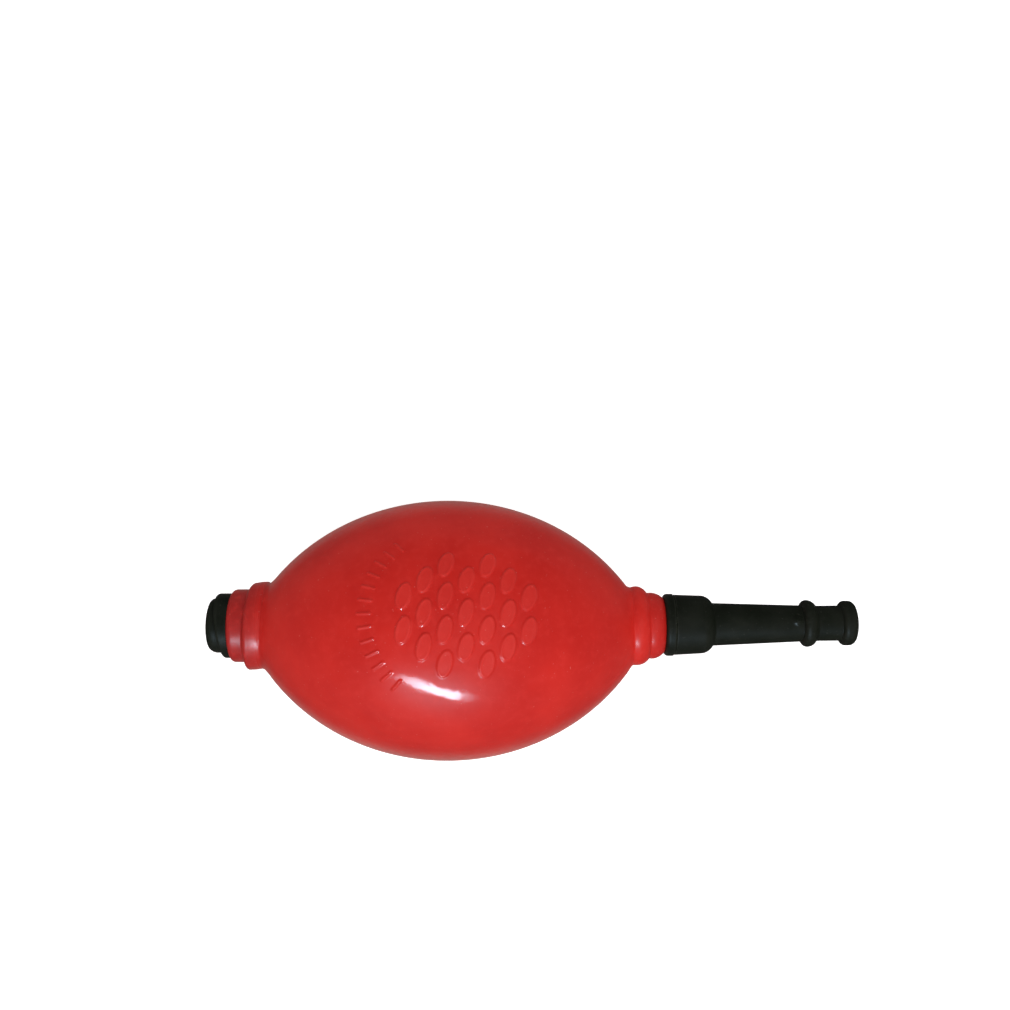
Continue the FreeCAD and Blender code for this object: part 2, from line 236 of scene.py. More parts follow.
# ---------------------------------------------------------------- meshes
def new_piece(name, vertices, faces, material):
    """Smooth-shaded object from vertices in millimetres."""
    mesh = bpy.data.meshes.new(name)
    mesh.from_pydata((np.asarray(vertices) * MM).tolist(), [], faces)
    mesh.polygons.foreach_set("use_smooth", [True] * len(mesh.polygons))
    mesh.materials.append(material)
    mesh.update()
    piece = bpy.data.objects.new(name, mesh)
    bpy.context.scene.collection.objects.link(piece)
    return piece


def grid_faces(index, wrap_rows, wrap_columns):
    """Four-sided faces between the rows and columns of a grid of vertex numbers."""
    if wrap_rows:
        index = np.vstack([index, index[:1]])
    if wrap_columns:
        index = np.hstack([index, index[:, :1]])
    quads = np.stack([index[:-1, :-1], index[1:, :-1], index[1:, 1:], index[:-1, 1:]], axis=-1)
    return quads.reshape(-1, 4).tolist()


def around(points, angles):
    """Grid of places: each (x, radius) point, turned to each angle."""
    x = np.repeat(points[:, :1], len(angles), axis=1)
    radius = points[:, 1:2]
    return np.stack([x, radius * np.sin(angles), radius * np.cos(angles)], axis=-1)


def set_attribute(piece, name, values):
    """Gives every vertex of a piece a value that its material can read."""
    attribute = piece.data.attributes.new(name, "FLOAT", "POINT")
    attribute.data.foreach_set("value", np.asarray(values, np.float32).ravel())


def edge_wear(points):
    """How strongly a closed outline bends outwards at each point, from 0 to 1."""
    before = points - np.roll(points, 1, axis=0)
    after = np.roll(points, -1, axis=0) - points
    cross = before[:, 0] * after[:, 1] - before[:, 1] * after[:, 0]
    dot = (before * after).sum(axis=1)
    length = (np.linalg.norm(before, axis=1) + np.linalg.norm(after, axis=1)) / 2
    shortest = 0.02
    wear_per_bend = 0.3
    bend = -np.arctan2(cross, dot) / np.maximum(length, shortest)
    return np.clip(bend * wear_per_bend, 0, 1)


def turned(name, corners, material):
    """Closed ring of revolution about X."""
    points = outline_points(corners)
    angles = np.linspace(0, 2 * math.pi, SEGMENTS, endpoint=False)
    grid = around(points, angles)
    index = np.arange(len(points) * SEGMENTS).reshape(len(points), SEGMENTS)
    piece = new_piece(name, grid.reshape(-1, 3), grid_faces(index, True, True), material)
    piece.data.set_sharp_from_angle(angle=SHARP_ANGLE)
    set_attribute(piece, "wear", np.repeat(edge_wear(points), SEGMENTS))
    return piece


# ---------------------------------------------------------------- materials
class Shader:
    """A material's node tree, with short calls for the nodes used here. Sizes are in millimetres."""

    def __init__(self, name):
        self.material = bpy.data.materials.new(name)
        self.material.use_nodes = True
        self.tree = self.material.node_tree
        self.surface = self.tree.nodes["Principled BSDF"]
        self.place = self.node("ShaderNodeTexCoord").outputs["Object"]

    def put(self, socket, value):
        """Links a node's output to a socket, or sets the socket's value."""
        if isinstance(value, bpy.types.NodeSocket):
            self.tree.links.new(value, socket)
        elif isinstance(value, tuple) and socket.type == "RGBA":
            socket.default_value = (*value, 1)
        else:
            socket.default_value = value

    def node(self, kind, settings=None, **inputs):
        made = self.tree.nodes.new(kind)
        for name, value in (settings or {}).items():
            setattr(made, name, value)
        for name, value in inputs.items():
            self.put(made.inputs[name.replace("_", " ")], value)
        return made

    def noise(self, feature_mm, detail=3.0, roughness=0.5, stretch=None):
        """Noise from 0 to 1 whose blobs are about feature_mm across."""
        place = self.place
        if stretch:
            place = self.node("ShaderNodeMapping", Vector=place, Scale=stretch).outputs["Vector"]
        made = self.node("ShaderNodeTexNoise", Vector=place, Scale=1 / (feature_mm * MM),
                         Detail=detail, Roughness=roughness)
        return made.outputs["Fac"]

    def attribute(self, name):
        return self.node("ShaderNodeAttribute", {"attribute_name": name}).outputs["Fac"]

    def spread(self, value, low, high, to_low=0.0, to_high=1.0):
        """Maps low..high of a value to to_low..to_high, smoothly and without overshoot."""
        made = self.node("ShaderNodeMapRange", {"interpolation_type": "SMOOTHSTEP"})
        inputs = {"Value": value, "From Min": low, "From Max": high,
                  "To Min": to_low, "To Max": to_high}
        for name, entry in inputs.items():
            self.put(made.inputs[name], entry)
        return made.outputs["Result"]

    def math(self, operation, first, second=0.0):
        made = self.node("ShaderNodeMath", {"operation": operation})
        self.put(made.inputs[0], first)
        self.put(made.inputs[1], second)
        return made.outputs["Value"]

    def blend(self, share, first, second):
        """Colour that goes from first to second as the share goes from 0 to 1."""
        made = self.node("ShaderNodeMix", {"data_type": "RGBA"})
        self.put(made.inputs["Factor"], share)
        self.put(made.inputs[6], first)
        self.put(made.inputs[7], second)
        return made.outputs[2]

    def bump(self, height, depth_mm, under=None):
        """Surface normal for a height from 0 to 1, on top of the normal under it."""
        made = self.node("ShaderNodeBump", Height=height, Distance=depth_mm * MM)
        if under:
            self.put(made.inputs["Normal"], under)
        return made.outputs["Normal"]

    def finish(self, **inputs):
        for name, value in inputs.items():
            self.put(self.surface.inputs[name.replace("_", " ")], value)
        return self.material


def red_rubber():
    """Moulded red rubber: mottled pigment, a soft bloom on raised places, faint waves, fine grain."""
    shader = Shader("red_rubber")
    cloudy = shader.noise(14, detail=4)
    mottled = shader.noise(1.6, detail=5, roughness=0.6)
    grain = shader.noise(0.22, detail=2)
    raised = shader.attribute("raised")
    colour = shader.blend(shader.spread(cloudy, 0.3, 0.7), (0.54, 0.012, 0.008), (0.62, 0.018, 0.012))
    # Painted shade: the necks are darker than the body, darkest next to the black pieces at their ends.
    along = shader.node("ShaderNodeSeparateXYZ", Vector=shader.place).outputs["X"]
    rear_painted_shade = shader.spread(along, -47 * MM, -38 * MM, 1, 0)
    front_painted_shade = shader.spread(along, 43 * MM, 50.5 * MM, 0, 0.5)
    colour = shader.blend(shader.math("ADD", rear_painted_shade, front_painted_shade), colour, (0.37, 0.012, 0.010))
    colour = shader.blend(shader.spread(mottled, 0.45, 0.75, 0, 0.35), colour, (0.68, 0.030, 0.022))
    colour = shader.blend(shader.math("MULTIPLY", raised, 0.35), colour, (0.72, 0.045, 0.036))
    dust = shader.spread(shader.noise(0.5, detail=1), 0.74, 0.79, 0, 0.25)
    colour = shader.blend(dust, colour, (0.75, 0.30, 0.27))
    roughness = shader.spread(mottled, 0.3, 0.7, 0.36, 0.46)
    waves = shader.bump(shader.noise(7, detail=1), 0.10)
    dimples = shader.bump(shader.noise(2.5, detail=2), 0.035, waves)
    skin = shader.bump(grain, 0.003, dimples)
    # The rubber's coat is strong and smooth on the body, and weaker and rougher on both necks.
    rear_neck, front_neck = (-44 * MM, -40 * MM), (38 * MM, 44 * MM)
    front_coat = shader.spread(along, *front_neck, 0.60, 0.16)
    coat = shader.spread(along, *rear_neck, 0.42, front_coat)
    front_blur = shader.spread(along, *front_neck, 0.09, 0.24)
    blur = shader.spread(along, *rear_neck, 0.33, front_blur)
    return shader.finish(
        Base_Color=colour, Roughness=roughness, Normal=skin, Specular_IOR_Level=0.15,
        Coat_Weight=coat, Coat_Roughness=blur, Coat_Normal=dimples)


def black_plastic():
    """Satin black moulding: slightly uneven black, paler rubbed edges, settled dust, fine grain."""
    shader = Shader("black_plastic")
    cloudy = shader.noise(5, detail=4)
    grain = shader.noise(0.16, detail=3)
    scuffs = shader.noise(0.9, detail=4, roughness=0.65, stretch=(0.25, 1, 1))
    wear = shader.attribute("wear")
    colour = shader.blend(shader.spread(cloudy, 0.3, 0.7), (0.007, 0.009, 0.0055), (0.011, 0.013, 0.009))
    rubbed = shader.math("MULTIPLY", wear, shader.spread(scuffs, 0.35, 0.65, 0.1, 0.5))
    colour = shader.blend(rubbed, colour, (0.035, 0.037, 0.027))
    dust = shader.spread(shader.noise(0.4, detail=1), 0.72, 0.78, 0, 0.3)
    colour = shader.blend(dust, colour, (0.10, 0.10, 0.09))
    roughness = shader.spread(scuffs, 0.3, 0.7, 0.40, 0.54)
    # A small shiny pip is left on the nozzle where the mould was filled.
    pip_place = Vector((81.1, 1.5, 4.1)) * MM
    from_pip = shader.node("ShaderNodeVectorMath", {"operation": "DISTANCE"}, Vector=shader.place)
    from_pip.inputs[1].default_value = pip_place
    pip = shader.spread(from_pip.outputs["Value"], 0.1 * MM, 1.5 * MM, 1, 0)
    roughness = shader.spread(pip, 0, 0.5, roughness, 0.3)
    uneven = shader.bump(cloudy, 0.03)
    pip_raised = shader.bump(pip, 0.42, uneven)
    skin = shader.bump(grain, 0.004, pip_raised)
    return shader.finish(
        Base_Color=colour, Roughness=roughness, Normal=skin,
        Specular_IOR_Level=shader.spread(pip, 0, 0.5, 0.11, 0.3))


def plain_moulding(name, dark, light, roughness, grain_mm):
    """Small inner pieces: two close tones, uneven gloss and fine grain."""
    shader = Shader(name)
    cloudy = shader.noise(2.5, detail=4)
    grain = shader.noise(grain_mm, detail=3)
    colour = shader.blend(shader.spread(cloudy, 0.3, 0.7), dark, light)
    gloss = shader.spread(cloudy, 0.3, 0.7, roughness - 0.06, roughness + 0.06)
    return shader.finish(Base_Color=colour, Roughness=gloss, Normal=shader.bump(grain, 0.004))


def gauze_metal():
    """Steel wire gauze."""
    shader = Shader("gauze_metal")
    drawn = shader.noise(0.08, detail=3, stretch=(1, 1, 0.1))
    colour = shader.blend(shader.spread(drawn, 0.3, 0.7), (0.40, 0.40, 0.41), (0.62, 0.62, 0.63))
    return shader.finish(
        Base_Color=colour, Metallic=1.0, Roughness=shader.spread(drawn, 0.3, 0.7, 0.25, 0.4),
        Normal=shader.bump(drawn, 0.003))


# ---------------------------------------------------------------- raised mark
def smooth(value):
    """Eased step from 0 to 1."""
    value = np.clip(value, 0, 1)
    return value * value * (3 - 2 * value)


def pad_height(depth):
    """Height of a raised pad at a depth inside its outline, with a slightly higher rim."""
    edge = 0.5
    rim_height, rim_depth, rim_width = 0.08, 0.45, 0.35
    rim = rim_height * np.exp(-(((depth - rim_depth) / rim_width) ** 2))
    return RELIEF_HEIGHT * smooth(depth / edge) + rim


def oval_depth(along, across, half_length, half_width):
    """Depth inside an oval."""
    reach = np.hypot(along / half_length, across / half_width) + 1e-9
    slope = np.hypot(along / half_length ** 2, across / half_width ** 2) / reach + 1e-9
    return (1 - reach) / slope


def grip_pads(p, q):
    """Round patch of staggered oval pads that all lean the same way."""
    total = np.zeros_like(p)
    for column in range(-3, 4):
        for row in range(-3, 4):
            middle_p = column * PAD_COLUMN
            middle_q = (row + column % 2 / 2) * PAD_ROW
            if math.hypot(middle_p, middle_q) > PATCH_RADIUS:
                continue
            along = (q - middle_q) * math.cos(PAD_LEAN) + (p - middle_p) * math.sin(PAD_LEAN)
            across = (p - middle_p) * math.cos(PAD_LEAN) - (q - middle_q) * math.sin(PAD_LEAN)
            depth = oval_depth(along, across, PAD_HALF_LENGTH, PAD_HALF_WIDTH)
            total = np.maximum(total, np.where(depth > 0, pad_height(depth), 0))
    return total


def bars(p, q):
    """Arc of short radial bars with round ends."""
    edge = 0.35
    total = np.zeros_like(p)
    for turn in np.linspace(BARS_FIRST_TURN, BARS_LAST_TURN, BAR_COUNT):
        along = p * math.cos(turn) + q * math.sin(turn) - BARS_RADIUS
        across = q * math.cos(turn) - p * math.sin(turn)
        distance = np.hypot(np.maximum(np.abs(along) - BAR_HALF_LENGTH, 0), across)
        total = np.maximum(total, RELIEF_HEIGHT * smooth((BAR_HALF_WIDTH - distance) / edge))
    return total


def mark_relief(x, angle):
    """Height of the raised mark over the bulb's surface."""
    q = flank_radius(x) * (angle - MARK_ANGLE)
    return np.maximum(grip_pads(x - MARK_X, q), bars(x - BARS_X, q))


def seam_relief(x, angle):
    """Faint ridge where the two halves of the mould met, a quarter turn either side of the mark."""
    height, width = 0.07, 0.22
    away = np.minimum(np.abs(angle - MARK_ANGLE - math.pi / 2), np.abs(angle - MARK_ANGLE + math.pi / 2))
    distance = flank_radius(x) * away
    return height * np.exp(-((distance / width) ** 2))


# ---------------------------------------------------------------- bulb skin
FINE_STEP = 0.17         # spacing of the skin's lines where the mark is
COARSE_STEP = 0.9        # their spacing along the rest of the body
INNER_STEP = 2.0         # spacing along the cavity
MARK_REAR = BARS_X - BARS_RADIUS - 1.8
MARK_FRONT = MARK_X + 14.6
MARK_HALF_WIDTH = 17.2
RING_END_RADIUS = 10.05  # of the big rear ring where the body rises out of it
FRONT_BEAD_CREST = (44.3, 9.14)
NEAR_BODY = 46.0         # the body's form reaches this far along both necks
BORE_EDGE = 6.5          # inside this radius the skin stays centred and square on its axis


def flank_radius(x, inset=0.0):
    """Radius of the bulb's outline at x, moved inwards by the inset."""
    share = np.clip((x - WIDEST_PLACE) / (OUTLINE_HALF_LENGTH - inset), -1, 1)
    return OUTLINE_CENTRE + (OUTLINE_HALF_HEIGHT - inset) * np.sqrt(1 - share ** 2)


def spaced(start, end, coarse, zones):
    """Places from start to end in coarse steps, with finer ones in each (low, high, step) zone."""
    growth = 0.25            # of a step, for each millimetre away from a fine zone
    places = [start]
    while places[-1] < end:
        step = coarse
        for low, high, fine in zones:
            distance = max(low - places[-1], places[-1] - high, 0)
            step = min(step, fine + growth * distance)
        places.append(places[-1] + step)
    places = np.array(places)
    return start + (places - start) * (end - start) / (places[-1] - start)


def flank_corners(start, end, inset=0.0, fine=False):
    """Corners along the bulb's outline from start to end, fine where the mark is."""
    low, high = min(start, end), max(start, end)
    if fine:
        x = spaced(low, high, COARSE_STEP, [(MARK_REAR, MARK_FRONT, FINE_STEP)])
    else:
        x = spaced(low, high, INNER_STEP, [])
    if start > end:
        x = x[::-1]
    return [(place, radius, CURVE) for place, radius in zip(x, flank_radius(x, inset))]


def skin_outline():
    """Closed outline of the bulb's wall: outside from rear neck to front neck, then back inside."""
    end_ring, big_ring = 8.45, 10.15
    rear = [
        (REAR_NECK_END, end_ring, 1.2),
        (-45.8, end_ring, 0.45),
        (-45.4, big_ring - 0.05, 1.0),
        *arc_through((-44.35, big_ring - 0.05), (-43.4, big_ring), (-41.9, RING_END_RADIUS), 8),
    ]
    outside = flank_corners(REAR_FLANK_END, FRONT_FLANK_END, fine=True)
    groove, mouth = (46.95, 7.6), (FRONT_NECK_END, 6.25)
    big_bead = arc_through(outside[-1][:2], FRONT_BEAD_CREST, groove, 20)
    small_bead = arc_through(groove, (48.9, 7.45), mouth, 14)
    front = big_bead[:-1] + [(*groove, 0.3)] + small_bead[2:-1] + [(*mouth, 0.15)]

    half_length = OUTLINE_HALF_LENGTH - WALL
    half_height = OUTLINE_HALF_HEIGHT - WALL

    def cavity_reach(radius):
        return half_length * math.sqrt(1 - ((radius - OUTLINE_CENTRE) / half_height) ** 2)

    front_bore = barbed_stem(FRONT_NECK_END, -1, FRONT_STEM_RADIUS)
    rear_bore = barbed_stem(REAR_NECK_END, 1, REAR_STEM_RADIUS)[::-1]
    cavity_front = WIDEST_PLACE + cavity_reach(FRONT_STEM_RADIUS)
    cavity_rear = WIDEST_PLACE - cavity_reach(REAR_STEM_RADIUS)
    inside = flank_corners(cavity_front, cavity_rear, WALL)
    outer = rear + outside[:-1] + front
    return outline_points(outer + front_bore + inside + rear_bore)


def skin_angles():
    """Angles of the skin's lines from the bottom on -Y, over the top, to the bottom on +Y."""
    fine = FINE_STEP / BULB_RADIUS
    half_width = MARK_HALF_WIDTH / BULB_RADIUS
    mark = (MARK_ANGLE - half_width, MARK_ANGLE + half_width)
    coarse = math.radians(3)
    seam = 0.12 / BULB_RADIUS
    sides = []
    for side in (-1, 1):
        seam_angle = abs(side * math.pi / 2 + MARK_ANGLE)
        seam_zone = (seam_angle - 2 * seam, seam_angle + 2 * seam, seam)
        mark_zone = sorted(side * edge for edge in mark)
        sides.append(spaced(0, math.pi, coarse, [(*mark_zone, fine), seam_zone]))
    return -sides[0][::-1], sides[1]


def grid_normals(grid):
    """Smooth normals of a grid of places that closes on itself in both directions."""
    down = np.roll(grid, -1, axis=0)
    right = np.roll(grid, -1, axis=1)
    across = np.roll(down, -1, axis=1)
    face = np.cross(across - grid, right - down)
    total = face + np.roll(face, 1, axis=0)
    total = total + np.roll(total, 1, axis=1)
    return total / np.maximum(np.linalg.norm(total, axis=-1, keepdims=True), 1e-12)


def skin_half(name, grid, normals, relief, cut_normal, material):
    """One side of the skin, closed by flat faces where it meets the other side."""
    rows, columns = grid.shape[:2]
    index = np.arange(rows * columns).reshape(rows, columns)
    quads = grid_faces(index, True, False)
    first_cut = index[::-1, 0].tolist()
    last_cut = index[:, -1].tolist()
    piece = new_piece(name, grid.reshape(-1, 3), quads + [first_cut, last_cut], material)
    full_relief = 0.3
    set_attribute(piece, "raised", np.clip(relief / full_relief, 0, 1))
    for cut in piece.data.polygons[-2:]:
        for corner in cut.loop_indices:
            piece.data.edges[piece.data.loops[corner].edge_index].use_edge_sharp = True
    corner_vertices = np.array(quads).ravel()
    curved_normals = normals.reshape(-1, 3)[corner_vertices]
    flat_normals = np.tile(cut_normal, (2 * rows, 1))
    corner_normals = np.vstack([curved_normals, flat_normals])
    piece.data.normals_split_custom_set(corner_normals.tolist())
    return piece


def offset_radius(radius, angle):
    """Distance from the necks' axis to a circle about the body's axis."""
    return np.sqrt(radius ** 2 - (BODY_OFFSET * np.cos(angle)) ** 2) - BODY_OFFSET * np.sin(angle)


def joined(one, two):
    """The larger of two radii, with a soft change from one to the other."""
    softness = 0.35
    return (one + two + np.hypot(one - two, softness)) / 2


def skin_radii(points, angles):
    """Radius of every grid place, from the offset body joined to the centred necks.

    Also tells which places are on the outside of the body.
    """
    x, radius = points[:, :1], points[:, 1:]
    outside = np.arange(len(points))[:, None] < np.argmax(points[:, 0])
    on_body = (x > REAR_FLANK_END) & (x < FRONT_FLANK_END)
    # The necks' shapes end inside the body: the rear one in a cone, the front one in a round.
    cone_start, cone_slope = -38, 1.5
    rear_neck = RING_END_RADIUS - cone_slope * np.clip(x - cone_start, 0, None)
    crest_x, crest = FRONT_BEAD_CREST
    roundness = 0.15
    front_neck = crest - roundness * (x - crest_x) ** 2
    neck = np.clip(np.where(x < 0, rear_neck, front_neck), 0, None)
    neck = np.where(on_body, neck, radius)
    body = offset_radius(np.clip(flank_radius(x), 1, None), angles)
    outer = np.where(np.abs(x) < NEAR_BODY, joined(neck, body), radius)
    cavity = radius - BODY_OFFSET * np.sin(angles) * smooth((radius - BORE_EDGE) / 2.5)
    return np.where(outside, outer, cavity), (outside & on_body)


def bulb_skin(material):
    """The whole rubber bulb, as two halves that meet along its top and bottom."""
    points = skin_outline()
    thumb_angles, finger_angles = skin_angles()
    angles = np.concatenate([thumb_angles[1:], finger_angles[1:]])
    radii, on_flank = skin_radii(points, angles)
    x = np.repeat(points[:, :1], len(angles), axis=1)
    relief = (mark_relief(x, angles) + seam_relief(x, angles)) * on_flank
    grid = np.stack([x, radii * np.sin(angles), radii * np.cos(angles)], axis=-1)
    grid += grid_normals(grid) * relief[..., None]

    # The steps of the necks aren't quite square to the axis, and the big rear ring is tilted.
    # The tilt fades out near the halves' cut faces, so that these stay flat.
    rim = smooth((radii - BORE_EDGE) / 1.5)
    lean_places = [REAR_NECK_END, -45.7, -41.8, -40.4, 43.5, 47, FRONT_NECK_END]
    lean = np.interp(x, lean_places, [0, 0.045, 0.047, 0, 0, -0.03, 0])
    tilt = np.interp(x, [-45.7, -45.4, -41.5, -39.5], [0, -0.2, 0.2, 0])
    tilt_fade = 4.0
    grid[..., 0] += lean * grid[..., 1] * rim
    grid[..., 1] += tilt * rim * smooth(np.abs(grid[..., 1]) / tilt_fade)
    normals = grid_normals(grid)

    thumb_count = len(thumb_angles) - 1
    thumb_columns = [len(angles) - 1, *range(thumb_count)]
    finger_columns = [*range(thumb_count - 1, len(angles))]
    halves = []
    sides = (("bulb_skin_thumb_side", thumb_columns, 1), ("bulb_skin_finger_side", finger_columns, -1))
    for name, columns, facing in sides:
        halves.append(skin_half(name, grid[:, columns], normals[:, columns], relief[:, columns],
                                (0, facing, 0), material))
    return halves


# ---------------------------------------------------------------- black mouldings
def lean_plug(piece):
    """Leans the step between the rear plug's flange and cap, but not its ends or its inside."""
    places = np.zeros(3 * len(piece.data.vertices))
    piece.data.vertices.foreach_get("co", places)
    places = places.reshape(-1, 3) / MM
    share = np.interp(places[:, 0], [cap_low.x, intake_low.x, REAR_NECK_END], [0, 1, 0])
    outside_recess = np.hypot(places[:, 1], places[:, 2]) - RECESS_RADIUS
    rim = smooth((outside_recess - 0.1) / 0.8)
    places[:, 0] -= PLUG_LEAN * places[:, 1] * share * rim
    piece.data.vertices.foreach_set("co", (places * MM).ravel())
    piece.data.update()


def lean_forward(piece):
    """Turns a piece of the front a little towards +Y: the nozzle sits slightly askew."""
    middle = Matrix.Translation((NOZZLE_LEAN_START * MM, 0, 0))
    piece.data.transform(middle @ Matrix.Rotation(NOZZLE_LEAN, 4, "Z") @ middle.inverted())


def intake_housing(material):
    face = intake_low.x
    recess_end = face + RECESS_DEPTH
    floor = recess_end + WEB_THICKNESS
    stem_end = REAR_NECK_END + STEM_REACH
    flange = intake_high.z
    piece = turned("intake_housing_moulding", [
        (face, RECESS_RADIUS, 0),
        (face, flange, 0.8),
        (REAR_NECK_END, flange, 0.12),
        *barbed_stem(REAR_NECK_END, 1, REAR_STEM_RADIUS),
        (stem_end - STEM_LEAD, REAR_STEM_RADIUS, 0),
        (stem_end, REAR_STEM_RADIUS - STEM_LEAD, 0),
        (stem_end, CHAMBER_RADIUS, 0),
        (floor, CHAMBER_RADIUS, 0),
        (floor, SEAT_RADIUS, 0),
        (floor + SEAT_HEIGHT, SEAT_RADIUS, 0),
        (floor + SEAT_HEIGHT, PORT_RADIUS, 0),
        (recess_end, PORT_RADIUS, 0),
        (recess_end, RECESS_RADIUS, 0),
    ], material)
    lean_plug(piece)
    return piece


def outlet_housing(material):
    flange_end = nozzle_low.x
    spigot_end = outlet_high.x
    floor = flange_end - SEAT_HEIGHT
    stem_end = outlet_low.x
    flange = outlet_high.z
    spigot = 5.25
    stem = barbed_stem(FRONT_NECK_END, -1, FRONT_STEM_RADIUS)[::-1]
    piece = turned("outlet_housing_moulding", [
        (stem_end, PORT_RADIUS, 0),
        (stem_end, FRONT_STEM_RADIUS - STEM_LEAD, 0),
        (stem_end + STEM_LEAD, FRONT_STEM_RADIUS, 0),
        *stem,
        (FRONT_NECK_END, flange, 0.9),
        (flange_end, flange, 0.35),
        (flange_end, spigot, 0),
        (spigot_end, spigot, 0.4),
        (spigot_end, CHAMBER_RADIUS, 0.1),
        (floor, CHAMBER_RADIUS, 0),
        (floor, SEAT_RADIUS, 0),
        (floor + SEAT_HEIGHT, SEAT_RADIUS, 0),
        (floor + SEAT_HEIGHT, PORT_RADIUS, 0),
    ], material)
    lean_forward(piece)
    return piece


def nozzle_moulding(material):
    """Socket, shoulder, taper, bead, short neck and rounded lip, with the bore inside."""
    start, end = nozzle_low.x, nozzle_high.x
    socket_back = nozzle_high.z
    socket_front = socket_back - 0.3
    socket_bore, passage = 5.3, 3.3
    bore, bore_depth = 2.5, 12.0
    taper_back, taper_front = 4.95, 4.2
    neck, lip = 4.09, 5.19
    shoulder_end = (61.95, taper_back)
    socket_end = 59.5
    shoulder = arc_through((socket_end, socket_front), (61.0, 6.1), shoulder_end, 12)
    bead_crest = (83.9, 5.44)
    bead_back = arc_through((82.65, taper_front), (83.016, 5.074), bead_crest, 12)
    bead_front = arc_through(bead_crest, (85.15, 5.08), (86.0, neck), 12)
    piece = turned("nozzle_moulding", [
        (start, socket_back, 0.3),
        *shoulder[:-1],
        (*shoulder_end, 0.5),
        (*bead_back[0][:2], 0.2),
        *bead_back[2:-1],
        *bead_front[:-2],
        (*bead_front[-1][:2], 0.3),
        (end - 3.43, neck, 0.2),
        (end - 3.30, lip, 1.05),
        (end, lip, 1.5),
        (end, bore, 0.35),
        (end - bore_depth, bore, 0),
        (shoulder_end[0], passage, 0),
        (socket_end, socket_bore, 0),
        (start, socket_bore, 0.2),
    ], material)
    lean_forward(piece)
    return piece


# ---------------------------------------------------------------- intake cap
class Builder:
    """Collects rings of vertices and the faces between them."""

    def __init__(self):
        self.places = []
        self.faces = []

    def ring(self, x, centre, radius, count):
        """Circle in the plane at x; centre is its (y, z)."""
        first = len(self.places)
        for number in range(count):
            turn = 2 * math.pi * number / count
            y = centre[0] + radius * math.sin(turn)
            z = centre[1] + radius * math.cos(turn)
            self.places.append((x, y, z))
        return list(range(first, first + count))

    def bridge(self, one, two):
        """Quads from ring one to ring two, facing outwards when the step runs towards +X."""
        count = len(one)
        for number in range(count):
            after = (number + 1) % count
            self.faces.append((one[number], two[number], two[after], one[after]))

    def plate(self, outer, holes, facing):
        """Flat plate inside one ring with open holes in it, facing -X or +X."""
        loops = [outer, *holes]
        numbers = [number for loop in loops for number in loop]
        flat = [Vector(self.places[number][1:]) for number in numbers]
        edges = []
        first = 0
        for loop in loops:
            count = len(loop)
            edges += [(first + step, first + (step + 1) % count) for step in range(count)]
            first += count
        triangles = delaunay_2d_cdt(flat, edges, [], 2, 1e-9)[2]
        for triangle in triangles:
            a, b, c = (flat[corner] for corner in triangle)
            turn = (b - a).cross(c - a)
            corners = [numbers[corner] for corner in triangle]
            in_a_hole = any(set(corners) <= set(hole) for hole in holes)
            if not in_a_hole:
                self.faces.append(tuple(corners if turn * facing > 0 else corners[::-1]))


def intake_cap(material):
    """End cap with a domed edge, a skirt, and air holes with rounded mouths."""
    face, back, rim_radius = cap_low.x, intake_low.x, cap_high.z
    skirt_end = cap_high.x
    inner_face = face + 1.0
    cavity_radius = 3.9
    hole_radius, hole_circle, hole_segments = 0.6, 2.5, 32
    mouth = 0.12
    holes = [(0.0, 0.0)]
    for number in range(6):
        turn = math.pi * number / 3
        holes.append((hole_circle * math.sin(turn), hole_circle * math.cos(turn)))

    outline = outline_points([
        (face, rim_radius - 2.0, 0),
        (face, rim_radius, 1.6),
        (back, rim_radius, 0.08),
        (back, RECESS_RADIUS, 0),
        (skirt_end, RECESS_RADIUS, 0.1),
        (skirt_end, cavity_radius, 0.1),
        (inner_face, cavity_radius, 0),
    ], closed=False)
    shape = Builder()
    rings = [shape.ring(x, (0, 0), radius, SEGMENTS) for x, radius in outline]
    for one, two in zip(rings, rings[1:]):
        shape.bridge(one, two)

    outer_rims, inner_rims = [], []
    for centre in holes:
        rim = shape.ring(face, centre, hole_radius + 2 * mouth, hole_segments)
        outer_rims.append(rim)
        for step in range(5):
            turn = math.pi / 2 * step / 4
            x = face + mouth * (1 - math.cos(turn))
            radius = hole_radius + mouth * (1 - math.sin(turn))
            after = shape.ring(x, centre, radius, hole_segments)
            shape.bridge(after, rim)
            rim = after
        inner = shape.ring(inner_face, centre, hole_radius, hole_segments)
        shape.bridge(inner, rim)
        inner_rims.append(inner)
    shape.plate(rings[0], outer_rims, -1)
    shape.plate(rings[-1], inner_rims, 1)
    piece = new_piece("intake_cap_moulding", shape.places, shape.faces, material)
    piece.data.set_sharp_from_angle(angle=SHARP_ANGLE)
    wear = np.zeros(len(shape.places))
    wear[:len(outline) * SEGMENTS] = np.repeat(edge_wear(outline), SEGMENTS)
    set_attribute(piece, "wear", wear)
    lean_plug(piece)
    return piece


# ---------------------------------------------------------------- pieces on the frame
rubber = red_rubber()
black = black_plastic()
thumb_skin, finger_skin = bulb_skin(rubber)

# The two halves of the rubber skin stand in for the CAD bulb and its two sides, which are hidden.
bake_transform(thumb_skin)
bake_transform(finger_skin)
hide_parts("bulb", "bulb_thumb_side")
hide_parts("bulb", "bulb_finger_side")

mouldings = [
    (intake_housing(black), "intake_valve_housing", "blower"),
    (intake_cap(black), "intake_cap", "blower"),
    (outlet_housing(black), "outlet_valve_housing", "blower"),
    (nozzle_moulding(black), "nozzle", "nozzle"),
]
for moulding, node, body in mouldings:
    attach(moulding, body)
    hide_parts(node)

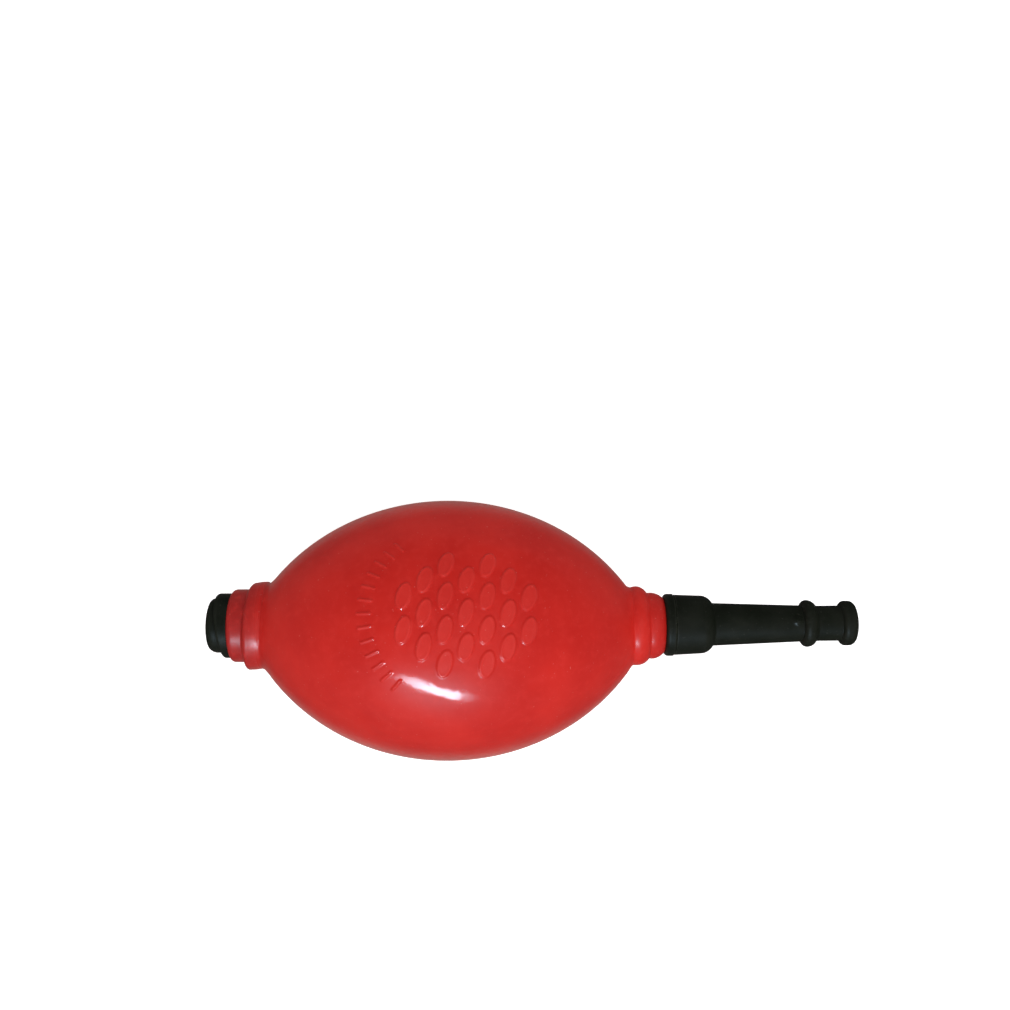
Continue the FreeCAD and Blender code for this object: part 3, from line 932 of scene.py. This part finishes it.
# The discs, the cages and the screen keep their own meshes.
valve_rubber = plain_moulding(
    "valve_rubber", (0.02, 0.02, 0.02), (0.04, 0.038, 0.036), roughness=0.6, grain_mm=0.1)
cage_plastic = plain_moulding(
    "cage_plastic", (0.70, 0.69, 0.64), (0.80, 0.79, 0.75), roughness=0.35, grain_mm=0.15)
inner_materials = {
    "intake_screen": gauze_metal(),
    "intake_valve_disc": valve_rubber,
    "outlet_valve_disc": valve_rubber,
    "intake_valve_cage": cage_plastic,
    "outlet_valve_cage": cage_plastic,
}
for node, material in inner_materials.items():
    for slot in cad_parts[node].material_slots:
        slot.material = material


# ---------------------------------------------------------------- floor, light and camera
def studio_floor():
    """Pale floor under the bulb. It looks paler to the camera than in the rubber's reflections."""
    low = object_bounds()[0]
    gap = 0.02 * MM
    half = 3.0
    mesh = bpy.data.meshes.new("floor")
    corners = [(-half, -half, 0), (half, -half, 0), (half, half, 0), (-half, half, 0)]
    mesh.from_pydata(corners, [], [(0, 1, 2, 3)])
    floor = bpy.data.objects.new("floor", mesh)
    floor.location.z = low.z - gap
    bpy.context.scene.collection.objects.link(floor)

    shader = Shader("floor")
    rays = shader.node("ShaderNodeLightPath").outputs
    grain = shader.noise(3, detail=4)
    pale = shader.blend(shader.spread(grain, 0.2, 0.8), (0.86, 0.86, 0.86), (0.90, 0.90, 0.90))
    # Reflections see a pale patch under the bulb and a dark floor beyond it.
    patch_centre = Vector((-5, -6, 0)) * MM
    flat = shader.node("ShaderNodeMapping", Vector=shader.place, Scale=(1.1, 1, 1)).outputs["Vector"]
    away = shader.node("ShaderNodeVectorMath", {"operation": "DISTANCE"}, Vector=flat)
    away.inputs[1].default_value = patch_centre
    far = shader.spread(away.outputs["Value"], 38 * MM, 98 * MM)
    reflected = shader.blend(far, (0.40, 0.37, 0.34), (0.05, 0.05, 0.05))
    colour = shader.blend(rays["Is Glossy Ray"], pale, reflected)
    shader.finish(
        Base_Color=colour, Roughness=0.9, Specular_IOR_Level=0.0, Emission_Color=(1.0, 1.0, 1.0),
        Emission_Strength=shader.math("MULTIPLY", rays["Is Camera Ray"], 0.6))
    mesh.materials.append(shader.material)


def studio_world():
    """Even pale surroundings, which reflections see as a darker room, lighter towards -Y."""
    world = bpy.data.worlds.new("studio")
    bpy.context.scene.world = world
    world.use_nodes = True
    tree = world.node_tree
    background = tree.nodes["Background"]
    background.inputs["Color"].default_value = (1, 1, 1, 1)
    rays = tree.nodes.new("ShaderNodeLightPath")
    place = tree.nodes.new("ShaderNodeTexCoord")
    split = tree.nodes.new("ShaderNodeSeparateXYZ")
    tree.links.new(place.outputs["Generated"], split.inputs["Vector"])
    reflected = tree.nodes.new("ShaderNodeMapRange")
    reflected.inputs["From Min"].default_value = 0.8
    reflected.inputs["From Max"].default_value = -0.9
    reflected.inputs["To Min"].default_value = 0.005
    reflected.inputs["To Max"].default_value = 0.15
    tree.links.new(split.outputs["Y"], reflected.inputs["Value"])
    direct = tree.nodes.new("ShaderNodeMix")
    direct.inputs["A"].default_value = 0.55
    direct.inputs["B"].default_value = 1.0
    tree.links.new(rays.outputs["Is Camera Ray"], direct.inputs["Factor"])
    strength = tree.nodes.new("ShaderNodeMix")
    tree.links.new(rays.outputs["Is Glossy Ray"], strength.inputs["Factor"])
    tree.links.new(direct.outputs["Result"], strength.inputs["A"])
    tree.links.new(reflected.outputs["Result"], strength.inputs["B"])
    tree.links.new(strength.outputs["Result"], background.inputs["Strength"])


def direction(azimuth, elevation):
    """Unit vector towards a place in the room. Azimuth is measured from -Y towards +X, in degrees."""
    azimuth, elevation = math.radians(azimuth), math.radians(elevation)
    flat = math.cos(elevation)
    return Vector((flat * math.sin(azimuth), -flat * math.cos(azimuth), math.sin(elevation)))


def area_light(name, towards, along, distance, length, width, radiance):
    """Rectangular light that faces the bulb. Its length runs along the given direction."""
    lamp = bpy.data.lights.new(name, "AREA")
    lamp.shape = "RECTANGLE"
    lamp.size = length
    lamp.size_y = width
    lamp.energy = radiance * math.pi * length * width
    light = bpy.data.objects.new(name, lamp)
    back = towards.normalized()
    side = (along - back * along.dot(back)).normalized()
    up = back.cross(side)
    facing = Matrix((side, up, back)).transposed().to_4x4()
    light.matrix_world = Matrix.Translation(back * distance) @ facing
    bpy.context.scene.collection.objects.link(light)
    return light


def studio_lights():
    """A large soft key from -Y, a soft top light, and a slanted window that only reflections see."""
    bulb_axis = Vector((1, 0, 0))
    key = area_light("key", direction(-2, 43), bulb_axis,
                     distance=1.2, length=0.9, width=0.7, radiance=2.75)
    key.visible_glossy = False
    top = area_light("top", direction(95, 72), bulb_axis,
                     distance=1.4, length=1.2, width=1.2, radiance=1.5)
    top.visible_glossy = False
    rear_end, front_end = direction(-37, 48.6), direction(12, 33.5)
    window = area_light("window", rear_end + front_end, front_end - rear_end,
                        distance=0.6, length=0.48, width=0.072, radiance=47)
    window.visible_diffuse = False
    window.data.color = (0.62, 0.84, 1.0)

    # The window is brightest past its middle and fades out towards both ends.
    lamp = window.data
    lamp.use_nodes = True
    nodes, links = lamp.node_tree.nodes, lamp.node_tree.links
    place = nodes.new("ShaderNodeNewGeometry").outputs["Parametric"]
    split = nodes.new("ShaderNodeSeparateXYZ")
    links.new(place, split.inputs["Vector"])
    curve = nodes.new("ShaderNodeFloatCurve")
    links.new(split.outputs["X"], curve.inputs["Value"])
    points = curve.mapping.curves[0].points
    points[0].location = (0.0, 0.0)
    points[1].location = (1.0, 0.02)
    rise = ((0.07, 0.05), (0.13, 0.22), (0.22, 0.45), (0.32, 0.7), (0.42, 1.0))
    fall = ((0.72, 1.0), (0.82, 0.4), (0.92, 0.08))
    for along, strength in rise + fall:
        points.new(along, strength)
    curve.mapping.update()
    links.new(curve.outputs["Value"], nodes["Emission"].inputs["Strength"])


def studio_camera():
    """Camera straight above, a little ahead of the bulb's centre and beside its axis."""
    lens = bpy.data.cameras.new("camera")
    camera = bpy.data.objects.new("camera", lens)
    camera.location = Vector((13.75, 28.1, 281.0)) * MM
    lens.sensor_width = 36.0
    half_view = 117.7        # half of what the camera sees across, in the plane of the axis
    lens.lens = lens.sensor_width / 2 * camera.location.z / MM / half_view
    lens.clip_start = 0.01
    lens.clip_end = 50
    bpy.context.scene.collection.objects.link(camera)
    bpy.context.scene.camera = camera


studio_floor()
studio_world()
studio_lights()
studio_camera()
bpy.context.scene.view_settings.view_transform = "Standard"
